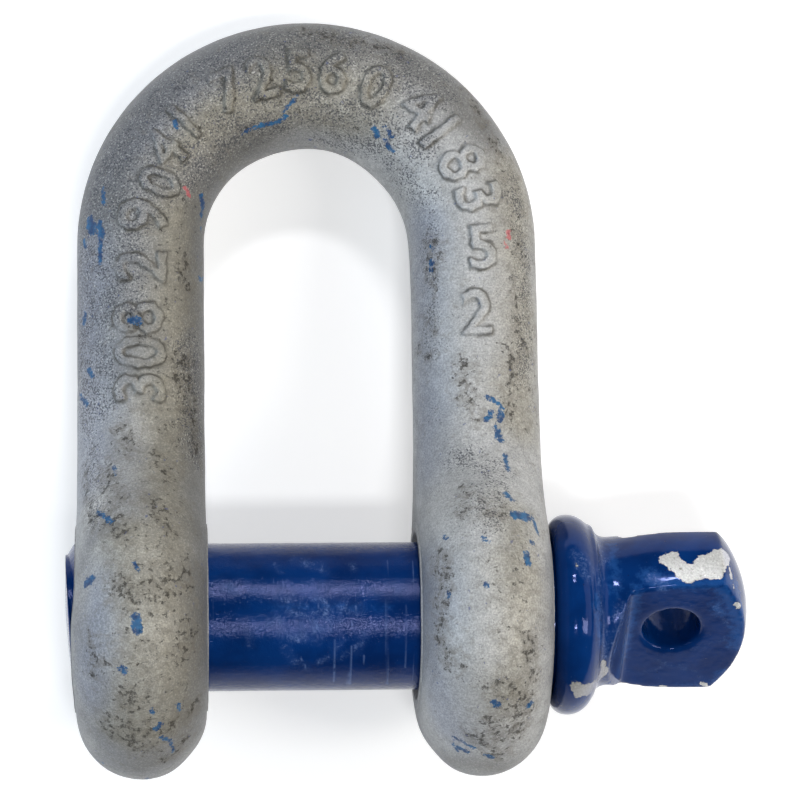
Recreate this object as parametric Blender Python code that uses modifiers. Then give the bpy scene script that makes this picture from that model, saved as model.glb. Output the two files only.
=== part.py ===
"""A screw-pin chain shackle forged from 22 mm bar: the D-shaped bow with its two ears, and the pin.

The shackle has its own frame: x along the pin towards its head, y from the pin to the crown
of the bow, z square to the plane of the D. An empty carries that frame and lies it down as
the shackle comes to rest, on the crown and on the rims of both ears.
"""

import math

import bmesh
import bpy

MM = 0.001

# Bow
stock = 22.2 * MM
jaw = 35.4 * MM
inside_length = 83.0 * MM
ear_radius = 27.6 * MM
ear_fillet = 21.0 * MM
pad_radius = 16.0 * MM
pad_height = 0.2 * MM
pad_slope = 0.9 * MM

# Bores through the ears
plain_bore = 27.2 * MM
thread_bore = 26.0 * MM
bore_chamfer = 0.8 * MM

# Pin, from its tip to the end of its head
pin_diameter = 25.4 * MM
tip_stands_out = 1.9 * MM
tip_chamfer = 1.4 * MM
tip_dome = 0.6 * MM
seat_clearance = 0.3 * MM
seat_fillet = 0.6 * MM
collar_diameter = 34.6 * MM
collar_thickness = 7.6 * MM
collar_seat_round = 2.4 * MM
collar_head_round = 3.4 * MM
neck_diameter = 25.6 * MM
neck_fillet = 2.2 * MM
neck_length = 5.6 * MM
head_diameter = 29.4 * MM
head_length = 21.2 * MM
head_end_radius = 22.0 * MM
head_set_off = 0.6 * MM

# Flat lug of the head, and its eye
lug_thickness = 12.8 * MM
lug_slope = math.radians(60)
lug_edge_round = 0.7 * MM
eye_diameter = 9.6 * MM
eye_from_end = 13.7 * MM
eye_off_middle = 2.0 * MM
eye_chamfer = 0.4 * MM
lug_turn = math.radians(55)

# Facets
RIM_SEGMENTS = 7
EAR_STEP = math.radians(8)
FILLET_SEGMENTS = 6
CROWN_STEPS = 12
TURN_STEPS = 48
ROUND_STEPS = 5
FLARE_STEPS = 8
CUT_PAST = 2.0 * MM
WELD = 0.00001

# What follows from the sizes above
stock_radius = stock / 2
face_inside = jaw / 2 + pad_height
ear_thickness = stock + 2 * pad_height
ear_outside = jaw / 2 + ear_thickness
leg_middle = face_inside + stock_radius
bend_y = inside_length - face_inside
crown_y = bend_y + leg_middle
lie_angle = math.asin((ear_radius - stock_radius) / crown_y)

pin_radius = pin_diameter / 2
tip_x = -(ear_outside + tip_stands_out)
collar_x = ear_outside + seat_clearance
neck_x = collar_x + collar_thickness
lug_x = neck_x + neck_length
head_end_x = lug_x + head_length


def collection(name):
    made = bpy.data.collections.new(name)
    bpy.context.scene.collection.children.link(made)
    return made


def principled(name, colour, roughness, metallic):
    material = bpy.data.materials.new(name)
    material.use_nodes = True
    shader = material.node_tree.nodes["Principled BSDF"]
    shader.inputs["Base Color"].default_value = (*colour, 1.0)
    shader.inputs["Roughness"].default_value = roughness
    shader.inputs["Metallic"].default_value = metallic
    return material


def place(name, mesh, group, parent):
    made = bpy.data.objects.new(name, mesh)
    group.objects.link(made)
    made.parent = parent
    return made


def as_cutter(made):
    made.hide_render = True
    made.display_type = "WIRE"
    return made


def arc(centre, radius, start, end, steps):
    """Points of an arc round centre, in the plane of its two coordinates, angles in degrees."""
    points = []
    for step in range(steps + 1):
        angle = math.radians(start + (end - start) * step / steps)
        across = centre[0] + radius * math.cos(angle)
        along = centre[1] + radius * math.sin(angle)
        points.append((across, along))
    return points


def turned(name, profile, group, parent, steps=TURN_STEPS):
    """A solid turned about x: profile gives (radius, x) from the head side down to the tip side."""
    mesh = bpy.data.meshes.new(name)
    points = [(radius, 0, along) for radius, along in profile]
    edges = [(index, index + 1) for index in range(len(points) - 1)]
    mesh.from_pydata(points, edges, [])
    made = place(name, mesh, group, parent)
    made.rotation_euler = (0, math.pi / 2, 0)
    screw = made.modifiers.new("turn", "SCREW")
    screw.axis = "Z"
    screw.steps = steps
    screw.render_steps = steps
    screw.use_merge_vertices = True
    screw.merge_threshold = WELD
    return made


def boolean(made, other, operation, name):
    modifier = made.modifiers.new(name, "BOOLEAN")
    modifier.operation = operation
    modifier.object = other


def side_outline():
    """The leg and its ear seen along the pin: (y, z) from the leg's front line round to its back."""
    fillet_z = stock_radius + ear_fillet
    reach = ear_radius + ear_fillet
    fillet_y = math.sqrt(reach**2 - fillet_z**2)
    meeting = math.degrees(math.atan2(fillet_z, fillet_y))
    front = [(bend_y, stock_radius)]
    front += arc((fillet_y, fillet_z), ear_fillet, -90, meeting - 180, FILLET_SEGMENTS)
    round_angle = 180 - meeting
    steps = math.ceil(math.radians(round_angle) / EAR_STEP)
    rim = arc((0, 0), ear_radius, meeting, 180, steps)
    front += rim[1:-1]
    back = [(y, -z) for y, z in reversed(front)]
    return front + [rim[-1]] + back


def half_bow():
    """One ear, its leg and half of the crown, open at the plane of symmetry."""
    shape = bmesh.new()
    outline = [shape.verts.new((face_inside, y, z)) for y, z in side_outline()]
    plate = shape.faces.new(outline)
    grown = bmesh.ops.extrude_face_region(shape, geom=[plate])["geom"]
    moved = [item for item in grown if isinstance(item, bmesh.types.BMVert)]
    bmesh.ops.translate(shape, verts=moved, vec=(stock, 0, 0))
    bmesh.ops.recalc_face_normals(shape, faces=shape.faces[:])

    def at_bend(edge):
        return all(vertex.co.y > bend_y - WELD for vertex in edge.verts)

    def along_rim(edge):
        return abs(edge.verts[0].co.x - edge.verts[1].co.x) < WELD and not at_bend(edge)

    rims = [edge for edge in shape.edges if along_rim(edge)]
    bmesh.ops.bevel(
        shape, geom=rims, offset=stock_radius, offset_type="OFFSET", segments=RIM_SEGMENTS,
        profile=0.5, affect="EDGES", clamp_overlap=False, material=-1,
    )
    bmesh.ops.remove_doubles(shape, verts=shape.verts[:], dist=WELD)
    end = [face for face in shape.faces if all(at_bend(edge) for edge in face.edges)]
    bmesh.ops.delete(shape, geom=end, context="FACES")
    section = [edge for edge in shape.edges if at_bend(edge)]
    bmesh.ops.spin(
        shape, geom=section, cent=(0, bend_y, 0), axis=(0, 0, 1),
        angle=math.pi / 2, steps=CROWN_STEPS, use_duplicate=False,
    )
    bmesh.ops.remove_doubles(shape, verts=shape.verts[:], dist=WELD)
    bmesh.ops.recalc_face_normals(shape, faces=shape.faces[:])
    mesh = bpy.data.meshes.new("shackle_body")
    shape.to_mesh(mesh)
    shape.free()
    return mesh


def ear_pad(side, group, parent):
    """The low machined pad on both faces of an ear, as one turned block through the ear."""
    near = face_inside
    far = face_inside + stock
    profile = [
        (0, far + pad_height),
        (pad_radius, far + pad_height),
        (pad_radius + pad_slope, far - CUT_PAST),
        (pad_radius + pad_slope, near + CUT_PAST),
        (pad_radius, near - pad_height),
        (0, near - pad_height),
    ]
    if side < 0:
        profile = [(radius, -along) for radius, along in reversed(profile)]
    return as_cutter(turned("ear_pad", profile, group, parent))


def bore_cutter(side, diameter, group, parent):
    """The bore of an ear with a chamfer at each mouth."""
    radius = diameter / 2
    near = jaw / 2
    far = ear_outside
    wide = radius + bore_chamfer + CUT_PAST
    profile = [
        (0, far + CUT_PAST),
        (wide, far + CUT_PAST),
        (radius, far - bore_chamfer),
        (radius, near + bore_chamfer),
        (wide, near - CUT_PAST),
        (0, near - CUT_PAST),
    ]
    if side < 0:
        profile = [(across, -along) for across, along in reversed(profile)]
    return as_cutter(turned("ear_bore", profile, group, parent))


def make_body(group, cutters, frame):
    body = place("shackle_body", half_bow(), group, frame)
    mirror = body.modifiers.new("other half", "MIRROR")
    mirror.merge_threshold = WELD
    for side, diameter in ((1, plain_bore), (-1, thread_bore)):
        boolean(body, ear_pad(side, cutters, frame), "UNION", "pad")
        boolean(body, bore_cutter(side, diameter, cutters, frame), "DIFFERENCE", "bore")
    return body


def shaft_profile():
    """The collar, the shaft and the domed tip."""
    collar_radius = collar_diameter / 2
    seat_arc = (collar_radius - collar_seat_round, collar_x + collar_seat_round)
    head_arc = (collar_radius - collar_head_round, neck_x - collar_head_round)
    fillet = (pin_radius + seat_fillet, collar_x - seat_fillet)
    profile = [(0, neck_x)]
    profile += arc(head_arc, collar_head_round, 90, 0, ROUND_STEPS)
    profile += arc(seat_arc, collar_seat_round, 0, -90, ROUND_STEPS)
    profile += arc(fillet, seat_fillet, 90, 180, ROUND_STEPS - 2)
    face_radius = pin_radius - tip_chamfer
    dome_radius = (face_radius**2 + tip_dome**2) / (2 * tip_dome)
    dome_middle = tip_x + dome_radius
    profile.append((pin_radius, tip_x + tip_dome + tip_chamfer))
    for step in range(ROUND_STEPS):
        radius = face_radius * (1 - step / ROUND_STEPS)
        profile.append((radius, dome_middle - math.sqrt(dome_radius**2 - radius**2)))
    profile.append((0, tip_x))
    return profile


def head_profile():
    """The neck, which flares into the head, and the head's domed end."""
    neck_radius = neck_diameter / 2
    head_radius = head_diameter / 2
    dome_middle = head_end_x - head_end_radius
    profile = [(0, head_end_x)]
    for step in range(1, ROUND_STEPS + 1):
        radius = head_radius * step / ROUND_STEPS
        profile.append((radius, dome_middle + math.sqrt(head_end_radius**2 - radius**2)))
    corner_x = profile[-1][1]
    flare_x = neck_x + neck_fillet
    for step in range(1, FLARE_STEPS + 1):
        share = step / FLARE_STEPS
        ease = (1 - share**4) ** 2
        radius = neck_radius + (head_radius - neck_radius) * ease
        profile.append((radius, corner_x + (flare_x - corner_x) * share))
    fillet = (neck_radius + neck_fillet, flare_x)
    profile += arc(fillet, neck_fillet, 180, 270, ROUND_STEPS)[1:]
    profile.append((neck_radius + neck_fillet, collar_x + collar_seat_round))
    profile.append((0, collar_x + collar_seat_round))
    return profile


def lug_side_cutter(side, group, parent):
    """What is taken off one side of the head, down to the lug's flat and up its sloped shoulder."""
    flat = lug_thickness / 2
    depth = head_diameter
    rise = depth - flat
    shape = bmesh.new()
    corners = [
        (lug_x, flat),
        (head_end_x + CUT_PAST, flat),
        (head_end_x + CUT_PAST, depth),
        (lug_x - rise / math.tan(lug_slope), depth),
    ]
    points = [shape.verts.new((x, -depth, side * z)) for x, z in corners]
    wall = shape.faces.new(points)
    grown = bmesh.ops.extrude_face_region(shape, geom=[wall])["geom"]
    moved = [item for item in grown if isinstance(item, bmesh.types.BMVert)]
    bmesh.ops.translate(shape, verts=moved, vec=(0, 2 * depth, 0))
    bmesh.ops.recalc_face_normals(shape, faces=shape.faces[:])
    mesh = bpy.data.meshes.new("lug_side")
    shape.to_mesh(mesh)
    shape.free()
    return as_cutter(place("lug_side", mesh, group, parent))


def eye_cutter(group, parent):
    """The eye through the lug, square to its flats, with a chamfer at both mouths."""
    radius = eye_diameter / 2
    flat = lug_thickness / 2
    wide = radius + eye_chamfer + CUT_PAST
    profile = [
        (0, flat + CUT_PAST),
        (wide, flat + CUT_PAST),
        (radius, flat - eye_chamfer),
        (radius, -flat + eye_chamfer),
        (wide, -flat - CUT_PAST),
        (0, -flat - CUT_PAST),
    ]
    cutter = as_cutter(turned("lug_eye", profile, group, parent, steps=TURN_STEPS // 2))
    cutter.rotation_euler = (0, 0, 0)
    cutter.location = (head_end_x - eye_from_end, eye_off_middle, 0)
    return cutter


def make_pin(group, cutters, frame):
    pin = turned("screw_pin", shaft_profile(), group, frame)
    turn = bpy.data.objects.new("lug_turn", None)
    cutters.objects.link(turn)
    turn.parent = frame
    turn.location = (0, head_set_off, 0)
    turn.rotation_euler = (lug_turn, 0, 0)
    head = as_cutter(turned("pin_head", head_profile(), cutters, turn))
    for side in (1, -1):
        boolean(head, lug_side_cutter(side, cutters, turn), "DIFFERENCE", "flat")
    bevel = head.modifiers.new("worn edges", "BEVEL")
    bevel.width = lug_edge_round
    bevel.segments = 2
    bevel.limit_method = "ANGLE"
    bevel.angle_limit = math.radians(35)
    boolean(head, eye_cutter(cutters, turn), "DIFFERENCE", "eye")
    boolean(pin, head, "UNION", "head")
    return pin


def resting_frame():
    """The frame of the shackle as it lies, its origin under the middle of its box."""
    frame = bpy.data.objects.new("shackle_frame", None)
    bpy.context.scene.collection.objects.link(frame)
    far_y = crown_y * math.cos(lie_angle) + stock_radius
    frame.location = (-(tip_x + head_end_x) / 2, (ear_radius - far_y) / 2, ear_radius)
    frame.rotation_euler = (-lie_angle, 0, 0)
    return frame


def main():
    for old in list(bpy.data.objects):
        bpy.data.objects.remove(old, do_unlink=True)
    frame = resting_frame()
    group = collection("chain_joining_shackle")
    cutters = collection("cutters")
    body = make_body(group, cutters, frame)
    body.data.materials.append(principled("galvanised_steel", (0.27, 0.27, 0.25), 0.5, 0.6))
    pin = make_pin(group, cutters, frame)
    pin.data.materials.append(principled("blue_paint", (0.012, 0.045, 0.16), 0.25, 0.0))
    for made in (body, pin):
        made.data.shade_smooth()
        made.data.set_sharp_from_angle(angle=math.radians(35))


main()
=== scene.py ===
# %% [markdown]
# # A forged chain shackle with a painted screw pin
#
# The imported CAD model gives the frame: where the bow and the pin lie, what moves, and how large
# everything is. This script dresses it. It builds a fine mesh of the bow and one of the pin,
# gives each its finish, and sets up the camera, the lamps and the floor.

import math
import random

import bmesh
import bpy
import numpy as np
from mathutils import Euler, Matrix, Vector, noise
from mathutils.bvhtree import BVHTree


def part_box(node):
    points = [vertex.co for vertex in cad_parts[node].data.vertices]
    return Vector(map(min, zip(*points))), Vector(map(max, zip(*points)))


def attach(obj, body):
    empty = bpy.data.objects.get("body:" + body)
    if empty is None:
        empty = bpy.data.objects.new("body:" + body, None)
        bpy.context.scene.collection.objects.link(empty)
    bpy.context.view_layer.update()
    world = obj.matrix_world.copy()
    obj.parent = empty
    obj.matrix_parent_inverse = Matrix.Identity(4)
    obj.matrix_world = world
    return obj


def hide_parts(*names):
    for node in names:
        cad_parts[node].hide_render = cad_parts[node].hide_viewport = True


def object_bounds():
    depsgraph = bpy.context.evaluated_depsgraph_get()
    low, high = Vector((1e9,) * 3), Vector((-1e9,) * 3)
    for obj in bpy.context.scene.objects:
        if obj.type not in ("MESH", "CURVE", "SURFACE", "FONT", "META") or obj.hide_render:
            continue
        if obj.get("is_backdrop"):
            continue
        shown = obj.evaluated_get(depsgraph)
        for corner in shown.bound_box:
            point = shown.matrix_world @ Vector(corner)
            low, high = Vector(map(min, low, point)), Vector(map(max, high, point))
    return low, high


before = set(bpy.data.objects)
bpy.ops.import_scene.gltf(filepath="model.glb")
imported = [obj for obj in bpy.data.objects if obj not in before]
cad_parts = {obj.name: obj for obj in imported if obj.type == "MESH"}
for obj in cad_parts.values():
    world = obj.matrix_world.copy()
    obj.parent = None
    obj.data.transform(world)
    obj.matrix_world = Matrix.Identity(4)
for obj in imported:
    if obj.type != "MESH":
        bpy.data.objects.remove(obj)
cad_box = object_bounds()
MM = 0.001
print("the CAD model measures", [round((high - low) / MM, 1) for low, high in zip(*cad_box)])

# %% [markdown]
# The sizes are those of a shackle of 22 mm bar, the same as the CAD model's. They are written in
# the shackle's own frame, where x runs along the pin towards its head, y runs from the pin to
# the crown, and z is square to the plane of the D. The bow rests on its crown and on the rims
# of its two ears, so that frame leans over by a few degrees. One matrix turns a finished mesh
# from the upright frame into its place on the floor.

# %% Sizes and the lying frame
stock = 22.2 * MM
jaw = 35.4 * MM
inside_length = 83.0 * MM
ear_radius = 27.6 * MM
ear_fillet = 21.0 * MM
pad_height = 0.2 * MM
pin_radius = 12.7 * MM
tip_stands_out = 1.9 * MM

stock_radius = stock / 2
face_inside = jaw / 2 + pad_height
ear_outside = jaw / 2 + stock + 2 * pad_height
bend_y = inside_length - face_inside
leg_middle = face_inside + stock_radius
lie_angle = math.asin((ear_radius - stock_radius) / (bend_y + leg_middle))

pin_low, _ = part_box("screw_pin")
tip_x = -(ear_outside + tip_stands_out)
pin_axis = Vector((pin_low.x - tip_x, cad_box[0].y + ear_radius, ear_radius))
lying = Matrix.Translation(pin_axis) @ Matrix.Rotation(-lie_angle, 4, "X")
print("the bow leans by", round(math.degrees(lie_angle), 2), "degrees")

# %% [markdown]
# The camera looks almost straight down from two thirds of a metre, with a long lens. Its place
# and turn were found by laying the CAD model's outline over the outline in the picture.

# %% Camera
def link(name, data):
    """A new object in the scene that carries the data."""
    made = bpy.data.objects.new(name, data)
    bpy.context.scene.collection.objects.link(made)
    return made


PICTURE = 800
SENSOR = 36
camera_data = bpy.data.cameras.new("camera")
camera_data.sensor_width = SENSOR
camera_data.lens = 166.88
camera_data.clip_start = 0.05
camera = link("camera", camera_data)
camera.location = (-0.04311, -0.00812, 0.66312)
camera.rotation_euler = (0.0115, -0.0661, -0.0048)
bpy.context.scene.camera = camera
bpy.context.scene.view_settings.view_transform = "Standard"
picture_point = camera.location.z * SENSOR / camera_data.lens / PICTURE
print("one picture point is", round(picture_point / MM, 3), "mm on the table")

# %% [markdown]
# A material is a tree of nodes, and sums between nodes soon fill a script. A small class
# wraps one output socket, so that plain Python sums such as `1 - mask * 0.5` add the Math
# nodes. The class `Finish` holds one material and adds every other kind of node.

# %% Wires and finishes
class Wire:
    """One output socket, on which Python's operators work as Math nodes."""

    def __init__(self, finish, socket):
        self.finish = finish
        self.socket = socket

    def sum(self, operation, first, second):
        return self.finish.node("Math", {"operation": operation}, {0: first, 1: second})

    def __add__(self, other):
        return self.sum("ADD", self, other)

    __radd__ = __add__

    def __sub__(self, other):
        return self.sum("SUBTRACT", self, other)

    def __rsub__(self, other):
        return self.sum("SUBTRACT", other, self)

    def __mul__(self, other):
        return self.sum("MULTIPLY", self, other)

    __rmul__ = __mul__

    def __or__(self, other):
        """The greater of two masks."""
        return self.sum("MAXIMUM", self, other)


class Finish:
    """One material, and the few ways in which this script adds nodes to it."""

    def __init__(self, name):
        self.material = bpy.data.materials.new(name)
        self.material.use_nodes = True
        self.tree = self.material.node_tree
        self.tree.nodes.clear()

    def node(self, kind, settings=None, inputs=None, output=0):
        made = self.tree.nodes.new("ShaderNode" + kind)
        for key, value in (settings or {}).items():
            setattr(made, key, value)
        for key, value in (inputs or {}).items():
            if isinstance(value, Wire):
                self.tree.links.new(value.socket, made.inputs[key])
            else:
                made.inputs[key].default_value = value
        return Wire(self, made.outputs[output]) if made.outputs else made

    def place(self):
        """The point of the surface in the object's own metres."""
        return self.node("TexCoord", output="Object")

    def noise(self, size, detail, roughness, at, distortion=0.0):
        """Clouds whose lumps are about size across, from 0 to 1 with most near a half."""
        sockets = {
            "Vector": at, "Scale": 1 / size, "Detail": detail, "Roughness": roughness,
            "Distortion": distortion,
        }
        return self.node("TexNoise", None, sockets)

    def field(self, name):
        """A number that the mesh holds at each of its points."""
        return self.node("Attribute", {"attribute_name": name}, None, "Fac")

    def ramp(self, value, start, end, low=0.0, high=1.0):
        """A soft step from low to high as value goes from start to end."""
        sockets = {
            "Value": value, "From Min": start, "From Max": end, "To Min": low, "To Max": high,
        }
        return self.node("MapRange", {"interpolation_type": "SMOOTHSTEP"}, sockets)

    def mix(self, factor, first, second):
        """Two colours mixed: the first where factor is 0, the second where it is 1."""
        sockets = {"Factor": factor, 6: self.paint(first), 7: self.paint(second)}
        return self.node("Mix", {"data_type": "RGBA"}, sockets, 2)

    def paint(self, colour):
        """A colour as its sockets take it: an sRGB triple from 0 to 255, or a wire as it is."""
        if isinstance(colour, Wire):
            return colour
        shares = [part / 255 for part in colour]
        linear = [s / 12.92 if s <= 0.04045 else ((s + 0.055) / 1.055) ** 2.4 for s in shares]
        return (*linear, 1.0)

    def bump(self, height, depth):
        """The surface's direction, tilted by a height from 0 to 1 that stands for depth."""
        return self.node("Bump", None, {"Height": height, "Strength": 1.0, "Distance": depth})

    def surface(self, **inputs):
        """The Principled shader, with its sockets' names written in lower case."""
        names = {name: name.replace("_", " ").title().replace("Ior", "IOR") for name in inputs}
        sockets = {names[name]: value for name, value in inputs.items()}
        shader = self.node("BsdfPrincipled", None, sockets)
        self.node("OutputMaterial", None, {"Surface": shader})
        return self.material


print("wires and finishes are ready")

# %% [markdown]
# A white table carries the object and keeps its shadow. It glows a little where the camera or a
# shiny surface sees it. Soft boxes light the object from above. The pair over the pin gives the
# two long streaks in the blue paint, the glint box the bright spot on the collar, and the side
# lamps, one cool and one warm, round off the bars. All of them shine at a plain level, so that
# a colour comes out about as it is written.

# %% Table and world
def finished(shape, name):
    """A mesh from a bmesh, in an object of its own."""
    mesh = bpy.data.meshes.new(name)
    shape.to_mesh(mesh)
    shape.free()
    return link(name, mesh)


white = Finish("white table")
seen = white.node("LightPath", output="Is Camera Ray")
seen = seen | white.node("LightPath", output="Is Glossy Ray")
seen = seen | white.node("LightPath", output="Is Transmission Ray")
table_top = white.surface(
    base_color=white.paint((232, 232, 232)), roughness=0.8, specular_ior_level=0.0,
    emission_color=white.mix(seen, (0, 0, 0), (176, 176, 176)), emission_strength=1.0,
)
plane = bmesh.new()
bmesh.ops.create_grid(plane, x_segments=1, y_segments=1, size=3.0)
table = finished(plane, "table")
table.data.materials.append(table_top)
table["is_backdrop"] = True

world = bpy.data.worlds.new("studio")
bpy.context.scene.world = world
world.use_nodes = True
sky = world.node_tree.nodes["Background"]
sky.inputs["Color"].default_value = (0.93, 0.96, 1.0, 1.0)
sky.inputs["Strength"].default_value = 0.14
print("the table is", round(table.dimensions.x, 1), "m wide")

# %% Soft boxes
target = Vector((-0.015, 0.0, 0.02))


def soft_box(name, turn_x, turn_y, distance, size, watts, colour):
    """A square lamp aimed at the object, turned away from straight above in degrees."""
    data = bpy.data.lights.new(name, "AREA")
    data.shape = "RECTANGLE"
    data.size, data.size_y = size
    data.energy = watts
    data.color = colour
    lamp = link(name, data)
    turn = Euler((math.radians(turn_x), math.radians(turn_y), 0)).to_matrix()
    lamp.rotation_euler = turn.to_euler()
    lamp.location = target + turn @ Vector((0, 0, distance))
    return lamp


lamps = [
    soft_box("upper box", -44, 2, 1.2, (0.24, 0.09), 4.8, (0.96, 0.97, 1.0)),
    soft_box("near box", 14, 3, 1.3, (0.24, 0.12), 4.8, (0.98, 0.99, 1.0)),
    soft_box("glint", 11, 46, 1.0, (0.36, 0.20), 3.0, (1.0, 0.96, 0.90)),
    soft_box("cool side", 0, -60, 1.1, (0.5, 0.9), 5.2, (0.68, 0.83, 1.0)),
    soft_box("warm side", -5, 64, 0.7, (0.35, 0.6), 0.9, (1.0, 0.92, 0.80)),
]
print(len(lamps), "soft boxes")

# %% [markdown]
# ## Tools for the meshes
#
# Both pieces start from turned and extruded solids that cut into each other. A profile spun
# about the pin's axis gives a turned solid. Boolean modifiers join or cut whole objects, and
# baking them leaves one plain mesh that the next step can work on.

# %% Turned solids and Booleans
WELD = 0.00001


def weld(shape):
    bmesh.ops.remove_doubles(shape, verts=shape.verts[:], dist=WELD)


def turned(name, profile, steps=96):
    """A closed solid turned about x, from (x, radius) points that start and end on the axis."""
    shape = bmesh.new()
    verts = [shape.verts.new((x, radius, 0)) for x, radius in profile]
    for first, second in zip(verts, verts[1:]):
        shape.edges.new((first, second))
    bmesh.ops.spin(
        shape, geom=verts + shape.edges[:], cent=(0, 0, 0), axis=(1, 0, 0),
        angle=2 * math.pi, steps=steps, use_merge=True, use_duplicate=False,
    )
    weld(shape)
    bmesh.ops.recalc_face_normals(shape, faces=shape.faces[:])
    return finished(shape, name)


def drawn_out(corners, vec):
    """A closed solid: a flat face with these corners, drawn out by vec."""
    shape = bmesh.new()
    face = shape.faces.new([shape.verts.new(corner) for corner in corners])
    grown = bmesh.ops.extrude_face_region(shape, geom=[face])["geom"]
    moved = [item for item in grown if isinstance(item, bmesh.types.BMVert)]
    bmesh.ops.translate(shape, verts=moved, vec=vec)
    bmesh.ops.recalc_face_normals(shape, faces=shape.faces[:])
    return shape


def bake(piece):
    """Turns a piece's modifiers into its mesh."""
    graph = bpy.context.evaluated_depsgraph_get()
    mesh = bpy.data.meshes.new_from_object(piece.evaluated_get(graph))
    piece.modifiers.clear()
    piece.data = mesh


def carve(piece, tool, operation):
    """Joins or cuts a piece with a tool, and throws the tool away."""
    modifier = piece.modifiers.new("carve", "BOOLEAN")
    modifier.solver = "MANIFOLD"
    modifier.operation = operation
    modifier.object = tool
    bake(piece)
    bpy.data.objects.remove(tool)


def arc(centre, radius, start, end, grain):
    """Points round an arc about a grain apart, with its angles in degrees."""
    steps = math.ceil(radius * math.radians(abs(end - start)) / grain)
    points = []
    for step in range(steps + 1):
        angle = math.radians(start + (end - start) * step / steps)
        points.append(Vector(centre) + radius * Vector((math.cos(angle), math.sin(angle))))
    return points


print("an arc of 1 mm in steps of 0.1 mm has", len(arc((0, 0), MM, 0, 90, 0.1 * MM)), "points")

# %% [markdown]
# The pin screws into one ear with a coarse thread. Thread is a groove that winds round, so one
# helper sweeps the groove's section along a screw line: a spin that also moves a little along
# the axis at each step. The same helper cuts the pin's thread and the ear's, half a turn apart,
# so that the ridges of one lie in the grooves of the other without touching.

# %% Thread
PITCH = 3.175 * MM
TURN_STEPS = 64
SLOPE = math.tan(math.radians(30))


def screw_groove(name, start, turns, foot, top, foot_width):
    """A groove's solid: foot_width wide at radius foot, and wider by 30 degrees a side to top."""
    reach = abs(top - foot) * SLOPE
    half = foot_width / 2
    corners = [(-half, foot), (-half - reach, top), (half + reach, top), (half, foot)]
    shape = bmesh.new()
    section = shape.faces.new([shape.verts.new((start + x, radius, 0)) for x, radius in corners])
    geometry = [section, *section.edges, *section.verts]
    bmesh.ops.spin(
        shape, geom=geometry, cent=(0, 0, 0), axis=(1, 0, 0), angle=2 * math.pi * turns,
        dvec=(PITCH / TURN_STEPS, 0, 0), steps=round(TURN_STEPS * turns), use_duplicate=False,
    )
    bmesh.ops.recalc_face_normals(shape, faces=shape.faces[:])
    return finished(shape, name)

# %% [markdown]
# ## Painting on a mesh by picture points
#
# Wear isn't even: a chip sits on one edge, a smear of paint on one leg. Each such place is a
# short stroke, given by the picture points that it runs through. A ray from the camera finds
# where each point lies on the piece, and every point of the mesh then stores how far inside
# the stroke it is. The finish reads that number, so the wear stays on the metal from any side.

# %% Strokes
def rows_of(piece, what):
    """One row for each point of a piece: its place, "co", or its direction, "normal"."""
    numbers = np.empty(len(piece.data.vertices) * 3)
    piece.data.vertices.foreach_get(what, numbers)
    return numbers.reshape(-1, 3)


def skin_of(piece):
    """What a ray can be cast on."""
    mesh = piece.data
    corners = [vert.co for vert in mesh.vertices]
    return BVHTree.FromPolygons(corners, [face.vertices[:] for face in mesh.polygons])


def seen_at(skin, pixel):
    """The point and the direction of the surface that the camera sees at a picture point."""
    focal = camera_data.lens / SENSOR * PICTURE
    across, down = pixel[0] - PICTURE / 2, pixel[1] - PICTURE / 2
    towards = camera.rotation_euler.to_matrix() @ Vector((across, -down, -focal))
    point, normal, _, _ = skin.ray_cast(camera.location, towards.normalized())
    return point, normal


def distance_to(points, line):
    """From each point to the nearest place on a line through a few places."""
    nearest = np.full(len(points), np.inf)
    for start, end in zip(line, line[1:] or line):
        along = np.array(end - start)
        share = (points - np.array(start)) @ along / max(along @ along, 1e-12)
        foot = np.array(start) + np.clip(share, 0, 1)[:, None] * along
        nearest = np.minimum(nearest, np.linalg.norm(points - foot, axis=1))
    return nearest


def finely(pixels, step=12):
    """The picture points of a stroke with more of them between, so that it follows a bend."""
    points = [pixels[0]]
    for start, end in zip(pixels, pixels[1:]):
        parts = max(1, math.ceil(math.dist(start, end) / step))
        for part in range(1, parts + 1):
            share = part / parts
            points.append([a + (b - a) * share for a, b in zip(start, end)])
    return points


def store(piece, name, values):
    field = piece.data.attributes.new(name, "FLOAT", "POINT")
    field.data.foreach_set("value", values.astype(np.float32))


def paint_field(piece, skin, name, strokes, floor):
    """Stores how many millimetres each point lies inside the strokes, floor at the least."""
    points = rows_of(piece, "co")
    inside = np.full(len(points), floor)
    for width, *numbers in strokes:
        pixels = finely(list(zip(numbers[::2], numbers[1::2])))
        line = [seen_at(skin, pixel)[0] for pixel in pixels]
        line = [place for place in line if place]
        if line:
            inside = np.maximum(inside, width / 2 - distance_to(points, line) / MM)
    store(piece, name, inside)
    print(name, "covers", int((inside > 0).sum()), "points")

# %% [markdown]
# ## The bow
#
# The real bow is round bar, upset at both ends into ears and bent into a D. Its ears are discs
# with a full round rim, and long fillets lead from the disc into the leg. It could be a tube
# along a curve with two discs joined on, but then the place where they meet shows a crease. So
# one half starts as a flat plate with the outline of ear and leg, as seen along the pin. Bevels
# of half the bar's width on its rims round the plate into bar and disc in one go. Spinning the
# leg's open end a quarter turn makes half of the crown, and a mirrored copy closes the bow.

# %% Outline of ear and leg
GRAIN = 0.85 * MM


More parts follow.
